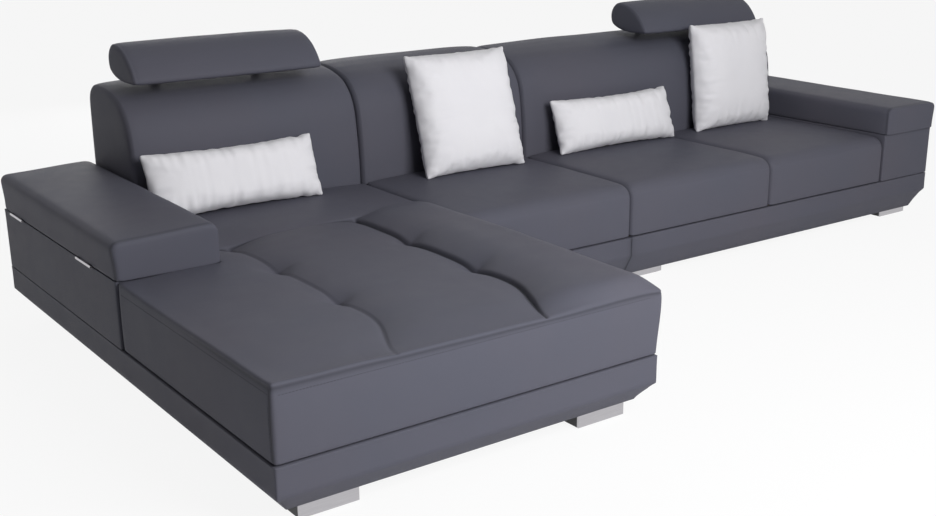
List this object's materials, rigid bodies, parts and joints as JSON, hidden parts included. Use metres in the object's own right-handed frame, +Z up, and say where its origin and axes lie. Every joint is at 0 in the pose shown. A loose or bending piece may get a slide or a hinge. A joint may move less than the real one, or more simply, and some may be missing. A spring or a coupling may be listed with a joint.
{
  "type": "sectional sofa",
  "caption": "Low sectional sofa with a chaise, padded arms whose lids open over storage boxes, tilting headrests, loose scatter cushions and flat metal feet.",
  "frame": {"origin": "on the floor, under the middle of the sofa's outline", "axes": "+X along the sofa from the chaise end to the other arm, +Y from the chaise's foot end to the backs, +Z up"},
  "size_m": [3.6, 1.9, 0.9057],
  "materials": {
    "grey_leather": "satin",
    "pale_fabric": "matte",
    "brushed_steel": "satin",
    "dark_steel": "satin",
    "core_timber": "satin",
    "frame_timber": "matte",
    "foam": "matte",
    "webbing": "matte",
    "dust_cloth": "matte",
    "glide_plastic": "matte"
  },
  "bodies": {
    "sofa": {"chaise_seat_cushion": "grey_leather", "chaise_seat_foam": "foam", "feet_glides": "glide_plastic", "feet_screws": "dark_steel", "feet_steel_plates": "brushed_steel", "feet_wood_cores": "core_timber", "inner_right_seat_cushion": "grey_leather", "inner_right_seat_foam": "foam", "left_arm_box_boards": "frame_timber", "left_arm_cover": "grey_leather", "left_back_cushion": "grey_leather", "left_back_foam": "foam", "left_back_frame": "frame_timber", "left_base_frame": "frame_timber", "left_base_padding": "grey_leather", "left_dust_cover": "dust_cloth", "left_headrest_lower_hinges": "dark_steel", "left_lid_hinge_lower_leaves": "brushed_steel", "left_seat_webbing": "webbing", "middle_back_cushion": "grey_leather", "middle_back_foam": "foam", "middle_back_frame": "frame_timber", "middle_seat_cushion": "grey_leather", "middle_seat_foam": "foam", "module_clamp_bars": "dark_steel", "module_clamp_studs": "dark_steel", "outer_right_seat_cushion": "grey_leather", "outer_right_seat_foam": "foam", "right_arm_box_boards": "frame_timber", "right_arm_cover": "grey_leather", "right_back_cushion": "grey_leather", "right_back_foam": "foam", "right_back_frame": "frame_timber", "right_base_frame": "frame_timber", "right_base_padding": "grey_leather", "right_dust_cover": "dust_cloth", "right_headrest_lower_hinges": "dark_steel", "right_lid_hinge_lower_leaves": "brushed_steel", "right_seat_webbing": "webbing"},
    "left_lid": {"left_lid_pad": "grey_leather", "left_lid_board": "frame_timber", "left_lid_hinge_upper_leaves": "brushed_steel", "left_lid_hinge_pins": "brushed_steel"},
    "right_lid": {"right_lid_pad": "grey_leather", "right_lid_board": "frame_timber", "right_lid_hinge_upper_leaves": "brushed_steel", "right_lid_hinge_pins": "brushed_steel"},
    "left_headrest": {"left_headrest_cushion": "grey_leather", "left_headrest_board": "frame_timber", "left_headrest_upper_hinges": "dark_steel", "left_headrest_hinge_pins": "dark_steel"},
    "right_headrest": {"right_headrest_cushion": "grey_leather", "right_headrest_board": "frame_timber", "right_headrest_upper_hinges": "dark_steel", "right_headrest_hinge_pins": "dark_steel"},
    "left_long_cushion": {"left_long_pillow": "pale_fabric"},
    "left_square_cushion": {"left_square_pillow": "pale_fabric"},
    "right_long_cushion": {"right_long_pillow": "pale_fabric"},
    "right_square_cushion": {"right_square_pillow": "pale_fabric"}
  },
  "joints": [
    {"name": "left_lid_hinge", "type": "hinge", "parent": "sofa", "child": "left_lid", "pos_m": [-1.796, 0.4875, 0.377], "axis": [0, -1, 0], "range_deg": [0, 95]},
    {"name": "right_lid_hinge", "type": "hinge", "parent": "sofa", "child": "right_lid", "pos_m": [1.796, 0.4875, 0.377], "axis": [0, 1, 0], "range_deg": [0, 95]},
    {"name": "left_headrest_tilt", "type": "hinge", "parent": "sofa", "child": "left_headrest", "pos_m": [-1.111, 0.7955, 0.812], "axis": [-1, 0, 0], "range_deg": [0, 75]},
    {"name": "right_headrest_tilt", "type": "hinge", "parent": "sofa", "child": "right_headrest", "pos_m": [1.062, 0.7955, 0.812], "axis": [-1, 0, 0], "range_deg": [0, 75]},
    {"name": "left_long_cushion_lift", "type": "slide", "parent": "sofa", "child": "left_long_cushion", "axis": [0, -0.9397, 0.342], "range_m": [0, 0.3]},
    {"name": "left_square_cushion_lift", "type": "slide", "parent": "sofa", "child": "left_square_cushion", "axis": [0, -0.9511, 0.309], "range_m": [0, 0.3]},
    {"name": "right_long_cushion_lift", "type": "slide", "parent": "sofa", "child": "right_long_cushion", "axis": [0, -0.9397, 0.342], "range_m": [0, 0.3]},
    {"name": "right_square_cushion_lift", "type": "slide", "parent": "sofa", "child": "right_square_cushion", "axis": [0, -0.9903, 0.1392], "range_m": [0, 0.3]}
  ]
}
